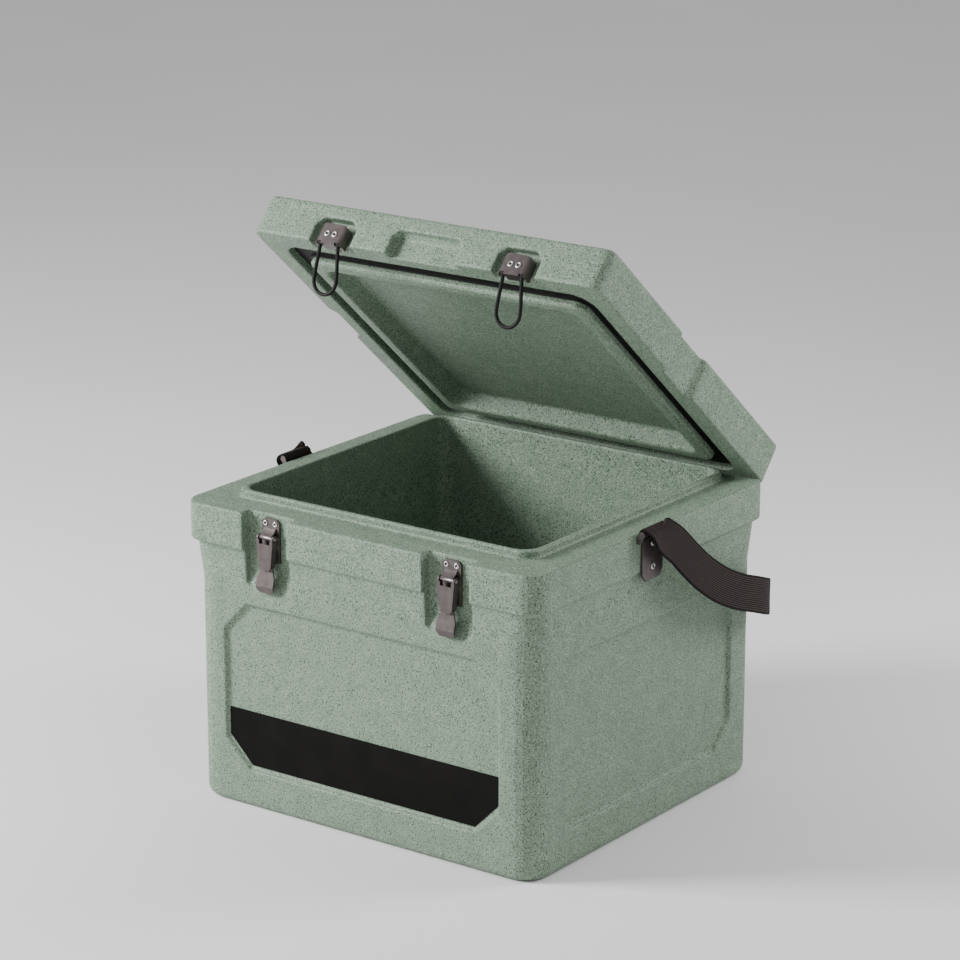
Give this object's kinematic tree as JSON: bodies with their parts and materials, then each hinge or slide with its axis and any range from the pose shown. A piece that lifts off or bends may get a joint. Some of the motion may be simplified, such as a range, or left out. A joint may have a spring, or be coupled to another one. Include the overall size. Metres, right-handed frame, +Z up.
{
  "type": "cooler chest",
  "caption": "Hard-sided insulated cooler chest with a raised hinged lid, rubber catch loops, over-centre latch levers and a webbing carry strap round the back.",
  "frame": {"origin": "centre of the flat underside, on the ground plane", "axes": "+X to the chest's right seen from the front, +Y to the back where the hinges are, +Z up"},
  "size_m": [0.4074, 0.3771, 0.5122],
  "materials": {
    "shell_green": "granite-speckled rotational moulding, softly matt",
    "foam": "poured insulating foam",
    "label_black": "smooth",
    "latch_metal": "dark satin coating",
    "bright_steel": "bright satin",
    "bracket_metal": "dark satin coating",
    "webbing": "woven ribbed webbing",
    "rubber_black": "smooth",
    "plug_black": "smooth"
  },
  "bodies": {
    "tub": {"tub_shell": "shell_green", "tub_foam_core": "foam", "front_label": "label_black", "latch_plate_left": "latch_metal", "latch_plate_right": "latch_metal", "latch_rivets": "bright_steel", "latch_axle_left": "bright_steel", "latch_axle_right": "bright_steel", "strap_bracket_left": "bracket_metal", "strap_bracket_right": "bracket_metal", "bracket_rivets": "bright_steel", "carry_strap": "webbing", "hinge_rod_left": "bright_steel", "hinge_rod_right": "bright_steel", "hinge_plugs": "plug_black", "tub_fill_plug": "plug_black"},
    "lid": {"lid_shell": "shell_green", "lid_foam_core": "foam", "lid_gasket": "rubber_black", "lid_fill_plug": "plug_black", "catch_block_left": "latch_metal", "catch_block_right": "latch_metal", "catch_rivets": "bright_steel"},
    "pin_left": {"loop_pin_left": "bright_steel"},
    "pin_right": {"loop_pin_right": "bright_steel"},
    "loop_left": {"catch_loop_left": "rubber_black"},
    "loop_right": {"catch_loop_right": "rubber_black"},
    "lever_left": {"latch_lever_left": "latch_metal"},
    "lever_right": {"latch_lever_right": "latch_metal"}
  },
  "joints": [
    {"name": "lid_hinge", "type": "hinge", "parent": "tub", "child": "lid", "pos_m": [0, 0.1635, 0.2565], "axis": [-1, 0, 0], "range_deg": [-40.9, 51.1]},
    {"name": "loop_pin_left_turn", "type": "hinge", "parent": "lid", "child": "pin_left", "pos_m": [-0.0948, -0.08138, 0.48516], "axis": [-1, 0, 0], "range_deg": [-51.1, 40.9]},
    {"name": "catch_loop_left_swing", "type": "hinge", "parent": "pin_left", "child": "loop_left", "pos_m": [-0.0948, -0.08138, 0.48516], "axis": [-1, 0, 0], "range_deg": [-1, 35]},
    {"name": "latch_lever_left_lift", "type": "hinge", "parent": "tub", "child": "lever_left", "pos_m": [-0.0948, -0.1707, 0.249], "axis": [-1, 0, 0], "range_deg": [0, 112]},
    {"name": "loop_pin_right_turn", "type": "hinge", "parent": "lid", "child": "pin_right", "pos_m": [0.0948, -0.08138, 0.48516], "axis": [-1, 0, 0], "range_deg": [-51.1, 40.9]},
    {"name": "catch_loop_right_swing", "type": "hinge", "parent": "pin_right", "child": "loop_right", "pos_m": [0.0948, -0.08138, 0.48516], "axis": [-1, 0, 0], "range_deg": [-1, 35]},
    {"name": "latch_lever_right_lift", "type": "hinge", "parent": "tub", "child": "lever_right", "pos_m": [0.0948, -0.1707, 0.249], "axis": [-1, 0, 0], "range_deg": [0, 112]}
  ],
  "couplings": [
    {"joint": "loop_pin_left_turn", "follows": "lid_hinge", "ratio": -1},
    {"joint": "loop_pin_right_turn", "follows": "lid_hinge", "ratio": -1}
  ]
}
